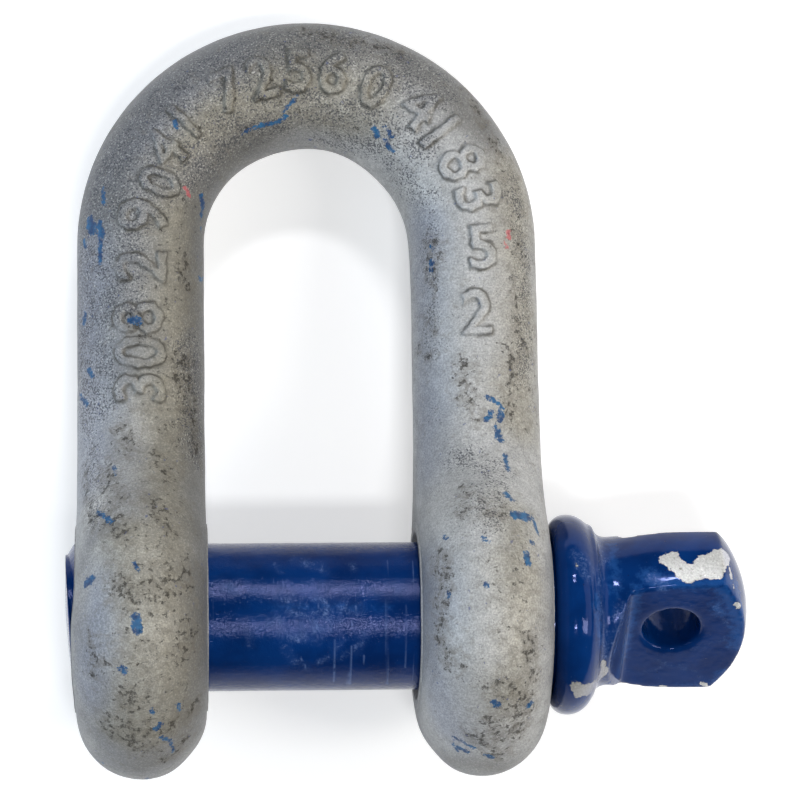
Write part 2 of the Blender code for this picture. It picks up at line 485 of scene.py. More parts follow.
def side_outline():
    """(y, z) from the leg's front line, round the ear, to the leg's back line."""
    fillet_z = stock_radius + ear_fillet
    fillet_y = math.sqrt((ear_radius + ear_fillet) ** 2 - fillet_z**2)
    meeting = math.degrees(math.atan2(fillet_z, fillet_y))
    steps = math.ceil((bend_y - fillet_y) / GRAIN)
    front = []
    for step in range(steps):
        front.append(Vector((bend_y + (fillet_y - bend_y) * step / steps, stock_radius)))
    front += arc((fillet_y, fillet_z), ear_fillet, -90, meeting - 180, GRAIN)
    rim = arc((0, 0), ear_radius, meeting, 180, GRAIN)
    front += rim[1:-1]
    back = [Vector((y, -z)) for y, z in reversed(front)]
    return front + [rim[-1]] + back


outline = side_outline()
print("the outline has", len(outline), "points")

# %% Plate, full round rims, crown and mirrored half
def at_bend(item):
    verts = [item] if isinstance(item, bmesh.types.BMVert) else item.verts
    return all(vert.co.y > bend_y - WELD for vert in verts)


def across_bar(edge):
    return abs(edge.verts[0].co.x - edge.verts[1].co.x) > WELD


ROUND_STEPS = 22
bow = drawn_out([(face_inside, y, z) for y, z in outline], (stock, 0, 0))
rims = [edge for edge in bow.edges if not across_bar(edge) and not at_bend(edge)]
bmesh.ops.bevel(
    bow, geom=rims, offset=stock_radius, offset_type="OFFSET", segments=ROUND_STEPS,
    profile=0.5, affect="EDGES", clamp_overlap=False, material=-1,
)
weld(bow)
ends = [face for face in bow.faces if at_bend(face)]
bmesh.ops.delete(bow, geom=ends, context="FACES")
section = [edge for edge in bow.edges if at_bend(edge)]
bmesh.ops.spin(
    bow, geom=section, cent=(0, bend_y, 0), axis=(0, 0, 1), angle=math.pi / 2,
    steps=math.ceil(math.pi / 2 * leg_middle / GRAIN), use_duplicate=False,
)
weld(bow)
bmesh.ops.mirror(bow, geom=bow.faces[:] + bow.edges[:] + bow.verts[:], axis="X", merge_dist=WELD)
weld(bow)
bmesh.ops.recalc_face_normals(bow, faces=bow.faces[:])
open_edges = [edge for edge in bow.edges if not edge.is_manifold]
print("the bow has", len(bow.faces), "faces and", len(open_edges), "open edges")

# %% [markdown]
# Each ear has a low machined pad on both faces, and a bore: plain in the ear by the pin's
# collar, threaded in the other. Turned tools join the pads and cut the bores. A groove is given
# by the radius at its foot, the radius at its open side and the width of its foot.

# %% Pads and bores
PAD_RADIUS = 16.0 * MM
PAD_SLOPE = 0.9 * MM
PLAIN_BORE = 13.6 * MM
THREAD_BORE = 11.15 * MM
THREAD_MOUTH = 13.4 * MM
CHAMFER = 0.8 * MM
PAST = 2 * MM
GROOVE_START = -48 * MM
EAR_TURNS = 11
EAR_GROOVE = (12.95 * MM, 11.0 * MM, 0.8 * MM)
near, far = jaw / 2, ear_outside


def ear_tool(side, radius, mouth):
    """A bore's solid through one ear, with a chamfer that opens to radius mouth at its ends."""
    deep = mouth - radius
    wide = mouth + PAST
    profile = [
        (near - PAST, 0), (near - PAST, wide), (near + deep, radius),
        (far - deep, radius), (far + PAST, wide), (far + PAST, 0),
    ]
    return turned("bore", [(side * x, across) for x, across in profile])


def ear_pad(side):
    low, top = near + PAST, far - PAST
    foot = PAD_RADIUS + PAD_SLOPE
    profile = [
        (near, 0), (near, PAD_RADIUS), (low, foot), (top, foot), (far, PAD_RADIUS), (far, 0),
    ]
    return turned("pad", [(side * x, across) for x, across in profile])


forged_bow = finished(bow, "forged_bow")
for side in (1, -1):
    carve(forged_bow, ear_pad(side), "UNION")
carve(forged_bow, ear_tool(1, PLAIN_BORE, PLAIN_BORE + CHAMFER), "DIFFERENCE")
carve(forged_bow, ear_tool(-1, THREAD_BORE, THREAD_MOUTH), "DIFFERENCE")
ear_groove = screw_groove("ear thread", GROOVE_START + PITCH / 2, EAR_TURNS, *EAR_GROOVE)
carve(forged_bow, ear_groove, "DIFFERENCE")
print("the bow has", len(forged_bow.data.polygons), "faces")

# %% [markdown]
# Forged steel is never quite even: dies wear, scale falls off, and zinc runs a little thicker
# here and there. Slow noise moves the points of the mesh inwards by up to a quarter of a
# millimetre. A few swells do the larger differences from a perfect bow. The upper side, which
# shows the marks and most of the wear, first gets faces of half the size.

# %% Finer upper side
UPPER_SIDE = 0.42


def refine(piece, chosen):
    """Splits each chosen face in four."""
    shape = bmesh.new()
    shape.from_mesh(piece.data)
    faces = [face for face in shape.faces if len(face.verts) < 5 and chosen(face)]
    shape.edges.index_update()
    edges = {edge.index: edge for face in faces for edge in face.edges}
    chosen_edges = [edges[index] for index in sorted(edges)]
    bmesh.ops.subdivide_edges(shape, edges=chosen_edges, cuts=1, use_grid_fill=True)
    shape.to_mesh(piece.data)
    shape.free()


forged_bow.data.transform(lying)
refine(forged_bow, lambda face: face.normal.z > UPPER_SIDE)
print("the bow now has", len(forged_bow.data.polygons), "faces")

# %% [markdown]
# Each kind of lump has a size and a depth in millimetres. Each swell has a place in the bow's
# upright frame, x and y, how far it reaches and how high it stands, all in millimetres.

# %% Uneven surface
LUMPS = ((11.0, 0.16), (4.0, 0.07), (1.3, 0.035))
SWELLS = (
    (12.5, 78.0, 7.0, 0.5), (16.5, 69.0, 8.0, 0.35), (-4.0, 82.5, 7.0, 0.25),
    (-19.5, -24.5, 4.0, -0.4), (19.5, -24.0, 4.5, -0.5), (-41.5, -9.0, 6.5, 0.7),
    (-42.5, -3.0, 4.0, 0.4),
)


def move_out(piece, amounts):
    """Moves each point along the surface's own direction, by millimetres."""
    points = rows_of(piece, "co") + rows_of(piece, "normal") * amounts[:, None] * MM
    piece.data.vertices.foreach_set("co", points.ravel())
    piece.data.update()


def upright_points(piece):
    """All points of a lying piece in its upright frame, one row each, in millimetres."""
    back = lying.inverted()
    return (rows_of(piece, "co") @ np.array(back.to_3x3()).T + np.array(back.translation)) / MM


def uneven(piece, lumps, seed):
    """How far the noise moves each point outwards, in millimetres: nowhere more than 0."""
    low = np.zeros(len(piece.data.vertices))
    for size, depth in lumps:
        shift = Vector((seed, size, 0))
        heights = [noise.noise(vert.co / (size * MM) + shift) for vert in piece.data.vertices]
        low += depth * (np.array(heights) - 1) / 2
    return low


amounts = uneven(forged_bow, LUMPS, seed=3.0)
upright = upright_points(forged_bow)
for x, y, reach, height in SWELLS:
    apart = np.hypot(upright[:, 0] - x, upright[:, 1] - y)
    amounts += height * np.exp(-((apart / reach) ** 2))
move_out(forged_bow, amounts)
print("points moved by", round(amounts.min(), 2), "to", round(amounts.max(), 2), "mm")

# %% [markdown]
# Raised marks run up one leg, over the crown and down the other, as the die left them. Here
# they are plain figures without a meaning, each listed with the picture point of its middle and
# its height in millimetres. A text object gives its outline, and the outline's edges tell how
# far inside it a flat point lies.

# %% Outlines of the figures
MARKS = (
    ("3", (140, 388), 8.0), ("0", (140, 352), 8.0), ("8", (138, 318), 8.0),
    ("2", (141, 266), 8.0), ("9", (143, 216), 8.0),
    ("0", (160, 182), 6.6), ("4", (165, 150), 6.6), ("1", (184, 121), 6.6),
    ("7", (228, 90), 7.0), ("2", (262, 77), 7.0), ("5", (298, 70), 7.0),
    ("6", (334, 72), 7.0), ("0", (376, 86), 7.0),
    ("4", (420, 107), 7.6), ("1", (441, 131), 7.6), ("8", (463, 162), 7.6),
    ("3", (479, 196), 7.6),
)
UPRIGHT_MARKS = (("5", (482, 247), 7.4), ("2", (477, 312), 7.4))


def outline_of(figure, height):
    """The edges of a figure's outline, centred and height tall, as pairs of flat points."""
    text = bpy.data.curves.new("figure", "FONT")
    text.body = figure
    text.fill_mode = "NONE"
    piece = link("figure", text)
    graph = bpy.context.evaluated_depsgraph_get()
    mesh = bpy.data.meshes.new_from_object(piece.evaluated_get(graph))
    flat = np.array([vert.co.xy for vert in mesh.vertices])
    low, high = flat.min(0), flat.max(0)
    flat = (flat - (low + high) / 2) * height / (high - low)[1]
    bpy.data.objects.remove(piece)
    return flat[np.array([edge.vertices[:] for edge in mesh.edges])]


def depth_inside(points, edges):
    """How far inside an outline each flat point is, negative outside."""
    nearest = np.full(len(points), np.inf)
    crossings = np.zeros(len(points), int)
    for start, end in edges:
        along = end - start
        share = np.clip((points - start) @ along / (along @ along), 0, 1)
        gap = np.linalg.norm(points - start - share[:, None] * along, axis=1)
        nearest = np.minimum(nearest, gap)
        rising = (start[1] > points[:, 1]) != (end[1] > points[:, 1])
        slope = along[0] / along[1] if along[1] else 0.0
        crossings += rising & (points[:, 0] < start[0] + (points[:, 1] - start[1]) * slope)
    return np.where(crossings % 2 == 1, nearest, -nearest)


print("a figure 3 has", len(outline_of("3", 8.0)), "edges in its outline")

# %% [markdown]
# Each figure stands on a flat frame that touches the bow where the camera sees its middle. Its
# top points away from the bend's middle, or up the leg for the two upright ones, and a small
# random turn keeps the row from looking typed.

# %% Places of the figures
MOST_TURN = 4
bend_middle = lying @ Vector((0, bend_y, 0))
scatter = random.Random(7)


def mark_frame(skin, pixel, turned_out):
    """A flat frame on the bow at a picture point: its middle, and where right and up point."""
    middle, normal = seen_at(skin, pixel)
    up = Vector((0, 1, 0))
    if turned_out:
        up = middle - bend_middle
        up = Vector((up.x, max(up.y, 0), 0))
    up.rotate(Matrix.Rotation(math.radians(scatter.uniform(-MOST_TURN, MOST_TURN)), 3, "Z"))
    up = (up - normal * up.dot(normal)).normalized()
    return middle, up.cross(normal), up


bow_skin = skin_of(forged_bow)
frames = [(mark, mark_frame(bow_skin, mark[1], True)) for mark in MARKS]
frames += [(mark, mark_frame(bow_skin, mark[1], False)) for mark in UPRIGHT_MARKS]
print(len(frames), "figures have their places")

# %% [markdown]
# The faces round each figure are split once more. Points near it are laid out flat on its frame,
# and those inside the outline are raised, with soft shoulders and a slightly wavering edge. How
# far inside they lie is also stored, since a line of painted shade follows the foot of each mark.

# %% Raised figures
MARK_HEIGHT = 0.62
THICKENED = 0.32
WAVER, WAVER_SIZE = 0.32, 1.1 * MM
SHOULDER_FOOT, SHOULDER = 0.22, 0.6
FAR_OUTSIDE = -2.0


def near_mark(face):
    middle = face.calc_center_median()
    return face.normal.z > 0.3 and any(
        (middle - place).length < (0.62 * height + 0.8) * MM
        for (_, _, height), (place, _, _) in frames
    )


refine(forged_bow, near_mark)
points = rows_of(forged_bow, "co")
figures = np.full(len(points), FAR_OUTSIDE)
for (figure, _, height), (middle, right, up) in frames:
    apart = (points - np.array(middle)) / MM
    close = np.flatnonzero(np.linalg.norm(apart, axis=1) < height)
    flat = np.stack([apart[close] @ np.array(right), apart[close] @ np.array(up)], axis=1)
    depth = depth_inside(flat, outline_of(figure, height))
    figures[close] = np.maximum(figures[close], depth + THICKENED)
figures += WAVER * np.array([noise.noise(Vector(point) / WAVER_SIZE) for point in points])
store(forged_bow, "figure", figures)
share = np.clip((figures + SHOULDER_FOOT) / SHOULDER, 0, 1)
move_out(forged_bow, MARK_HEIGHT * share * share * (3 - 2 * share))
print("the marked bow has", len(forged_bow.data.polygons), "faces")

# %% [markdown]
# Blue paint from the pin and from other gear has rubbed off on the bow, in blobs and thin
# smears, with a few specks of red. Each list holds strokes: a width in millimetres, then x and
# y of each picture point that the stroke runs through.

# %% Smears and specks on the bow
BLUE_SMEARS = (
    (2.1, 90, 222, 92, 229), (1.3, 99, 224, 102, 236), (0.7, 101, 238, 100, 262),
    (0.7, 103, 190, 104, 204), (0.6, 84, 241, 86, 247), (0.9, 85, 315, 84, 323),
    (1.3, 131, 320, 138, 321), (0.9, 89, 370, 92, 376), (0.9, 80, 396, 87, 404),
    (1.0, 201, 196, 203, 206), (0.7, 203, 208, 201, 218), (0.5, 201, 228, 201, 231),
    (0.7, 199, 279, 203, 279), (0.4, 242, 133, 249, 130, 258, 127),
    (0.6, 260, 125, 272, 124, 286, 117), (0.25, 283, 112, 290, 104, 297, 96),
    (0.8, 374, 128, 378, 136), (0.8, 386, 142, 392, 149), (0.5, 392, 136, 385, 128),
    (0.6, 487, 397, 498, 403), (0.9, 492, 412, 487, 420), (0.9, 501, 408, 500, 420),
    (1.0, 496, 428, 500, 440), (0.7, 505, 455, 508, 470), (1.0, 506, 494, 511, 499),
    (1.8, 515, 515, 526, 517), (0.9, 526, 517, 532, 518), (0.5, 532, 518, 538, 533),
    (1.2, 526, 554, 528, 562), (0.5, 530, 541, 533, 543), (0.6, 444, 536, 446, 538),
    (0.5, 485, 583, 487, 586), (0.5, 484, 538, 489, 541), (0.4, 448, 592, 449, 596),
    (0.6, 453, 744, 458, 751), (0.5, 454, 737, 474, 748), (0.9, 459, 748, 466, 751),
    (0.7, 487, 755, 492, 758), (0.9, 494, 702, 497, 706), (0.8, 528, 706, 532, 702),
    (1.3, 86, 583, 92, 579), (1.6, 136, 618, 138, 630), (1.1, 121, 669, 124, 670),
    (0.4, 90, 757, 103, 763), (0.7, 156, 729, 160, 724), (0.6, 162, 737, 170, 741),
    (0.4, 171, 742, 173, 752), (0.5, 151, 710, 153, 713), (0.5, 178, 704, 180, 710),
    (0.7, 98, 512, 112, 522), (0.5, 114, 466, 116, 474), (0.4, 134, 563, 138, 570),
    (0.6, 175, 121, 177, 127), (0.4, 293, 152, 300, 150), (0.5, 431, 246, 433, 251),
    (0.8, 432, 262, 431, 270), (0.4, 146, 778, 148, 779),
)
RED_SPECKS = (
    (0.6, 186, 188, 189, 195), (0.7, 508, 231, 509, 237), (0.4, 505, 243, 508, 248),
)
print(len(BLUE_SMEARS), "blue smears and", len(RED_SPECKS), "red specks")

# %% [markdown]
# Dirt sits in patches of small pits, and wide bands are peppered with fine dark specks.

# %% Dirt and specks on the bow
DIRT = (
    (4.0, 184, 258, 186, 290), (5.0, 183, 360, 186, 405), (3.0, 135, 318, 140, 335),
    (3.0, 300, 30, 340, 38, 400, 52), (2.5, 470, 95, 486, 128), (3.0, 495, 142, 500, 160),
    (2.2, 515, 235, 524, 262), (1.8, 513, 285, 516, 300), (2.2, 516, 320, 524, 350),
    (3.0, 508, 350, 512, 378, 508, 410), (3.0, 466, 365, 464, 395, 480, 420),
    (3.0, 432, 245, 433, 280), (1.8, 427, 318, 430, 330), (2.0, 420, 352, 428, 360),
    (3.0, 464, 490, 463, 512), (3.5, 485, 508, 500, 512), (4.0, 440, 560, 443, 585),
    (3.6, 440, 600, 442, 622), (3.0, 440, 640, 455, 665), (4.0, 530, 640, 532, 676),
    (6.0, 500, 690, 520, 705, 515, 730), (4.0, 490, 720, 500, 735), (3.0, 470, 735, 500, 755),
    (5.0, 122, 585, 128, 600, 150, 590), (3.0, 170, 570, 166, 600), (3.5, 184, 565, 186, 590),
    (4.0, 190, 630, 180, 655), (3.0, 92, 640, 98, 660, 92, 670), (4.0, 128, 695, 130, 706),
    (6.5, 115, 728, 140, 735, 145, 745), (4.0, 165, 730, 195, 705), (4.0, 170, 755, 182, 742),
    (3.0, 120, 430, 128, 450), (4.0, 105, 470, 118, 500), (5.0, 105, 515, 125, 530),
    (4.0, 150, 500, 170, 530), (2.5, 85, 470, 90, 520), (4.0, 190, 400, 196, 450),
    (3.0, 160, 455, 168, 480),
)
SPECKLED = (
    (11.0, 92, 400, 92, 250, 120, 160, 180, 90, 260, 52, 340, 48, 430, 85),
    (9.0, 120, 300, 125, 230, 150, 180), (5.0, 330, 140, 385, 150, 425, 200),
    (2.0, 430, 190, 430, 280, 432, 350), (4.2, 512, 180, 524, 260, 526, 380),
    (3.0, 90, 430, 95, 520), (7.0, 190, 350, 196, 450), (9.0, 190, 170, 230, 128, 300, 106),
    (6.0, 300, 106, 370, 116, 420, 150), (5.0, 458, 455, 495, 470, 488, 520),
)
print(len(DIRT), "patches of dirt and", len(SPECKLED), "speckled bands")

# %% [markdown]
# The zinc's grey is changed slowly by painted light and shade: lighter where more light falls on
# the bow, a painted warm cast mostly on the sides that face the warm lamp, a painted cool cast on
# the sides that face the cool lamp, and painted shade on the flanks and edges that lie in shadow.
# The warm cast's field also tells where grime gathers. The distance from the pin's axis is stored
# as well, since the bores are darkened with painted shade.

# %% Painted light and shade on the zinc
# painted light: inside these strokes the zinc's grey is made lighter
PAINTED_LIGHT = (
    (26.0, 465, 200, 475, 400, 480, 560, 474, 660, 456, 716), (16.0, 375, 150, 450, 200),
    (11.0, 88, 430, 88, 500), (5.0, 116, 560, 130, 640, 120, 700),
)
# a painted warm cast, mostly on the sides that face the warm lamp; the same strokes also place
# grime
PAINTED_WARM_LIGHT_AND_GRIME = (
    (9.0, 180, 210, 176, 300, 172, 420, 168, 520), (14.0, 225, 120, 300, 84, 358, 100),
    (16.0, 150, 560, 165, 640, 150, 720), (9.0, 515, 520, 522, 600, 512, 690),
    (9.0, 512, 180, 522, 300, 520, 420), (5.0, 180, 160, 200, 130),
)
# a painted cool cast on the sides that face the cool lamp
PAINTED_COOL_LIGHT = (
    (9.0, 90, 210, 86, 330, 90, 480), (7.0, 96, 590, 90, 690), (9.0, 100, 180, 150, 100, 230, 50),
    (8.0, 424, 230, 424, 340, 426, 470), (8.0, 432, 570, 434, 660, 450, 730),
)
# painted shade: darker stretches on the inner side of the left leg, the crown's outer edge and
# the ears' lower ends
PAINTED_SHADE = (
    (7.0, 198, 180, 198, 300, 197, 420, 198, 530), (8.0, 198, 580, 198, 690, 188, 740),
    (12.0, 92, 200, 118, 130, 170, 72, 250, 40, 330, 34), (8.0, 206, 180, 222, 160, 250, 142),
    (5.0, 140, 768, 176, 756), (5.0, 450, 762, 500, 768), (7.0, 400, 52, 450, 82, 486, 128),
)
BOW_FIELDS = {
    "painted_warm_light_and_grime": (PAINTED_WARM_LIGHT_AND_GRIME, -8.0), "cool": (PAINTED_COOL_LIGHT, -8.0), "painted_shade": (PAINTED_SHADE, -6.0), "painted_light": (PAINTED_LIGHT, -12.0),
    "smear": (BLUE_SMEARS, -2.0), "red": (RED_SPECKS, -2.0), "dirt": (DIRT, -4.0),
    "speckled": (SPECKLED, -6.0),
}
bow_skin = skin_of(forged_bow)
for name, (strokes, floor) in BOW_FIELDS.items():
    paint_field(forged_bow, bow_skin, name, strokes, floor)
upright = upright_points(forged_bow)
# the distance from the pin's axis, for the painted shade inside the bores
store(forged_bow, "bore", np.hypot(upright[:, 1], upright[:, 2]))

# %% The bow handed over
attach(forged_bow, "shackle")
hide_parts("shackle_body")
print("the bow stores", len(BOW_FIELDS) + 2, "fields")

# %% [markdown]
# ## The pin
#
# The pin is turned from one forging: a threaded tip, a plain shaft, a round collar that seats
# on the ear, and a head that is pressed flat into a lug with an eye. Shaft and head need
# different meshes. The shaft is a clean turned solid with the thread cut into it. The head is
# soft all over, as forged steel under thick paint is, so its turned and cut solid is remeshed
# into small even faces, and smoothing takes the edge off every corner.

# %% Shaft
SEAT_FILLET = 0.6 * MM
TIP_CHAMFER = 1.4 * MM
TIP_DOME = 0.6 * MM
DOME_GRAIN = 0.8 * MM
SEAT_GAP = 0.3 * MM
SHAFT_IN_COLLAR = 3 * MM
SHAFT_STEPS = 120
collar_x = ear_outside + SEAT_GAP
face_radius = pin_radius - TIP_CHAMFER
dome_radius = (face_radius**2 + TIP_DOME**2) / (2 * TIP_DOME)
dome_angle = math.degrees(math.asin(face_radius / dome_radius))
dome = arc((tip_x + dome_radius, 0), dome_radius, 180, 180 - dome_angle, DOME_GRAIN)
shaft_profile = [tuple(point) for point in dome]
shaft_start, shaft_end = tip_x + TIP_DOME + TIP_CHAMFER, collar_x + SHAFT_IN_COLLAR
for share in np.linspace(0, 1, SHAFT_STEPS):
    shaft_profile.append((shaft_start + share * (shaft_end - shaft_start), pin_radius))
shaft_profile.append((shaft_end, 0))
painted_pin = turned("painted_pin", shaft_profile, steps=128)
print("the shaft is", round((shaft_end - tip_x) / MM, 1), "mm long up to the collar's inside")

# %% [markdown]
# Over its last turn and a half the groove of a cut thread gets shallower, until it leaves the
# metal. So the groove's solid moves outwards there.

# %% Thread of the pin
THREAD_END = -20.5 * MM
PIN_GROOVE = (10.95 * MM, 13.0 * MM, 0.6 * MM)
RUN_OUT_TURNS = 1.5
RUN_OUT = 1.6 * MM
thread_turns = (THREAD_END - GROOVE_START) / PITCH
pin_groove = screw_groove("pin thread", GROOVE_START, thread_turns, *PIN_GROOVE)
for vert in pin_groove.data.vertices:
    past = max(0.0, vert.co.x - (THREAD_END - RUN_OUT_TURNS * PITCH)) / PITCH
    radius = math.hypot(vert.co.y, vert.co.z)
    run_out = 1 + past * RUN_OUT / radius
    vert.co.y *= run_out
    vert.co.z *= run_out
carve(painted_pin, pin_groove, "DIFFERENCE")
print("the shaft has", len(painted_pin.data.polygons), "faces")

# %% [markdown]
# The collar is a flat ring with round edges, the tighter one towards the ear. From it the head
# flares out through a hollow neck to a round bar with a domed end. Both are profiles again.

# %% Collar, neck and flared head
COLLAR_RADIUS = 17.3 * MM
COLLAR_THICKNESS = 7.6 * MM
COLLAR_SEAT_ROUND = 3.1 * MM
COLLAR_HEAD_ROUND = 4.4 * MM
NECK_RADIUS = 12.8 * MM
NECK_FILLET = 2.2 * MM
NECK_LENGTH = 5.6 * MM
HEAD_RADIUS = 14.7 * MM
HEAD_LENGTH = 21.2 * MM
HEAD_END_RADIUS = 22.0 * MM
HEAD_SET_OFF = 0.6 * MM
FLARE_STEPS = 40

neck_x = collar_x + COLLAR_THICKNESS
lug_x = neck_x + NECK_LENGTH
head_end_x = lug_x + HEAD_LENGTH
FINE_GRAIN = 0.4 * MM
seat_arc = (collar_x + COLLAR_SEAT_ROUND, COLLAR_RADIUS - COLLAR_SEAT_ROUND)
head_arc = (neck_x - COLLAR_HEAD_ROUND, COLLAR_RADIUS - COLLAR_HEAD_ROUND)
flare_x = neck_x + NECK_FILLET
end_angle = math.degrees(math.asin(HEAD_RADIUS / HEAD_END_RADIUS))
end_arc = arc((head_end_x - HEAD_END_RADIUS, 0), HEAD_END_RADIUS, end_angle, 0, FINE_GRAIN)
corner_x = end_arc[0].x

collar_profile = [(collar_x, 0), (collar_x, pin_radius + SEAT_FILLET)]
collar_profile += arc(seat_arc, COLLAR_SEAT_ROUND, 180, 90, FINE_GRAIN)
collar_profile += arc(head_arc, COLLAR_HEAD_ROUND, 90, 0, FINE_GRAIN)
collar_profile.append((neck_x, 0))
head_profile = [(neck_x - PAST, 0), (neck_x - PAST, NECK_RADIUS + NECK_FILLET)]
head_profile += arc((flare_x, NECK_RADIUS + NECK_FILLET), NECK_FILLET, 180, 270, FINE_GRAIN)
for step in range(1, FLARE_STEPS):
    share = 1 - step / FLARE_STEPS
    ease = (1 - share**4) ** 2
    radius = NECK_RADIUS + (HEAD_RADIUS - NECK_RADIUS) * ease
    head_profile.append((corner_x + (flare_x - corner_x) * share, radius))
head_profile += end_arc
pin_head = turned("pin head", head_profile)
print("the head reaches", round(head_end_x / MM, 1), "mm from the bow's middle")

# %% [markdown]
# Two flats with sloped shoulders make the lug, and the eye goes through it, off its middle.
# They are cut before the head is turned about the pin, as it stands in the picture.

# %% Flats and eye of the lug
LUG_THICKNESS = 12.8 * MM
LUG_SLOPE = math.tan(math.radians(60))
LUG_TURN = math.radians(55)
EYE_RADIUS = 4.8 * MM
EYE_FROM_END = 13.7 * MM
EYE_OFF_MIDDLE = 2.0 * MM
EYE_CHAMFER = 0.4 * MM


def lug_side(side):
    """What is taken off one side of the head, down to the flat and up its sloped shoulder."""
    flat = LUG_THICKNESS / 2
    depth = 2 * HEAD_RADIUS
    corners = [
        (lug_x, flat), (head_end_x + PAST, flat), (head_end_x + PAST, depth),
        (lug_x - (depth - flat) / LUG_SLOPE, depth),
    ]
    wedge = drawn_out([(x, -depth, side * z) for x, z in corners], (0, 2 * depth, 0))
    return finished(wedge, "lug side")


def lug_eye():
    """The eye's solid, square to the flats, with a chamfer at both mouths."""
    flat = LUG_THICKNESS / 2
    wide = EYE_RADIUS + EYE_CHAMFER + PAST
    half = [(-flat - PAST, 0), (-flat - PAST, wide), (EYE_CHAMFER - flat, EYE_RADIUS)]
    profile = half + [(-x, radius) for x, radius in reversed(half)]
    eye = turned("eye", profile, steps=64)
    upright = Matrix.Rotation(math.radians(90), 4, "Y")
    place = Matrix.Translation((head_end_x - EYE_FROM_END, EYE_OFF_MIDDLE, 0))
    eye.data.transform(place @ upright)
    return eye


for side in (1, -1):
    carve(pin_head, lug_side(side), "DIFFERENCE")
carve(pin_head, lug_eye(), "DIFFERENCE")
set_off = Matrix.Translation((0, HEAD_SET_OFF, 0))
pin_head.data.transform(set_off @ Matrix.Rotation(LUG_TURN, 4, "X"))
carve(pin_head, turned("collar", collar_profile), "UNION")
print("the cut head has", len(pin_head.data.polygons), "faces")

# %% Head made soft
SOFT_GRAIN = 0.32 * MM
SOFT_ROUNDS = 7
remesh = pin_head.modifiers.new("even faces", "REMESH")
remesh.mode = "VOXEL"
remesh.voxel_size = SOFT_GRAIN
bake(pin_head)
soft = bmesh.new()
soft.from_mesh(pin_head.data)
for _ in range(SOFT_ROUNDS):
    bmesh.ops.smooth_vert(
        soft, verts=soft.verts[:], factor=0.5, use_axis_x=True, use_axis_y=True, use_axis_z=True,
    )
soft.to_mesh(pin_head.data)
soft.free()
carve(painted_pin, pin_head, "UNION")
print("the pin has", len(painted_pin.data.polygons), "faces")

# %% [markdown]
# The tip was sawn off a little askew, so it stands out more on the crown's side. The paint lies
# thick and not quite level, which the two long streaks of light show well.

# %% Askew tip and thick paint
ASKEW = 0.055
TIP_REACH = 0.45 * MM
ASKEW_END, ASKEW_BLEND = 4 * MM, 3 * MM
PAINT_LUMPS = ((9.0, 0.08), (2.6, 0.03))
for vert in painted_pin.data.vertices:
    near_tip = min(1, max(0, (tip_x + ASKEW_END - vert.co.x) / ASKEW_BLEND))
    vert.co.x += near_tip * (ASKEW * (pin_radius - vert.co.y) - TIP_REACH)
painted_pin.data.transform(lying)
amounts = uneven(painted_pin, PAINT_LUMPS, seed=11.0)
move_out(painted_pin, amounts)
print("paint lies up to", round(-amounts.min(), 2), "mm below the perfect surface")

# %% [markdown]
# Paint has chipped off the lug's edge and the collar down to bright metal, and it is worn thin
# along the end of the lug. One band along the shaft, between its two streaks of light, is a
# painted sheen given by the same strokes.

# %% Chips and thin paint on the pin
CHIPS = (
    (1.8, 664, 559, 674, 556), (2.9, 673, 561, 682, 570, 689, 575), (2.8, 690, 573, 716, 571),
    (1.6, 686, 568, 700, 568), (2.8, 703, 563, 713, 558, 724, 556), (2.0, 720, 568, 727, 556),
    (0.8, 730, 571, 731, 577), (1.1, 737, 604, 738, 607), (0.4, 733, 584, 734, 588),
    (0.6, 661, 686, 666, 687), (0.9, 702, 684, 705, 685), (0.3, 696, 688, 710, 686),
    (1.5, 602, 664, 604, 671), (2.5, 603, 673, 597, 683), (3.0, 592, 688, 582, 691),
    (1.8, 575, 685, 580, 694), (0.1, 577, 564, 577, 565),
)
WORN_AND_SHEEN = (
    (3.0, 722, 590, 732, 604, 738, 622), (3.2, 736, 585, 742, 610, 736, 645),
    (3.0, 646, 574, 660, 582, 690, 584, 732, 582), (2.4, 716, 606, 722, 612),
    (1.8, 596, 596, 600, 640), (2.0, 636, 588, 632, 620, 616, 684),
    (1.5, 640, 686, 690, 688, 712, 684, 722, 672), (2.0, 612, 545, 616, 590),
    # this band on the shaft is a painted sheen between its two streaks of light
    (0.5, 270, 606, 392, 608),
)
print(len(CHIPS), "chips and", len(WORN_AND_SHEEN), "thin places")

# %% [markdown]
# Other gear has scuffed the shaft, the shoulder and the collar with pale scratches, and a few
# thin lines run across the shaft.

# %% Scuffs and lines on the pin
SCUFFS = (
    (2.6, 596, 535, 602, 560, 600, 590), (2.0, 600, 600, 604, 640, 602, 680),
    (2.8, 622, 610, 614, 650, 606, 684), (3.0, 578, 555, 590, 575), (2.2, 652, 578, 666, 588),
    (2.0, 296, 560, 308, 564, 320, 566), (0.8, 325, 571, 327, 573), (0.9, 276, 566, 280, 572),
    (0.8, 351, 564, 354, 569), (3.2, 284, 600, 300, 612, 334, 616), (1.8, 312, 598, 332, 603),
    (2.0, 298, 627, 326, 630), (1.4, 276, 614, 282, 622), (2.0, 284, 636, 318, 639),
    (1.8, 287, 650, 294, 662), (1.2, 305, 664, 309, 671), (1.0, 318, 662, 334, 656),
    (1.2, 342, 638, 334, 650), (0.7, 340, 658, 348, 654), (1.6, 364, 634, 356, 652),
    (1.0, 248, 632, 250, 646), (2.4, 340, 604, 360, 610), (1.5, 226, 586, 236, 592),
    (1.2, 268, 622, 276, 630), (0.6, 640, 674, 660, 668), (0.5, 655, 660, 690, 672),
    (0.5, 694, 650, 718, 642), (0.6, 716, 606, 728, 626), (0.5, 680, 664, 704, 678),
    (0.6, 652, 596, 662, 600), (0.5, 626, 668, 632, 672), (0.7, 722, 640, 734, 634),
)
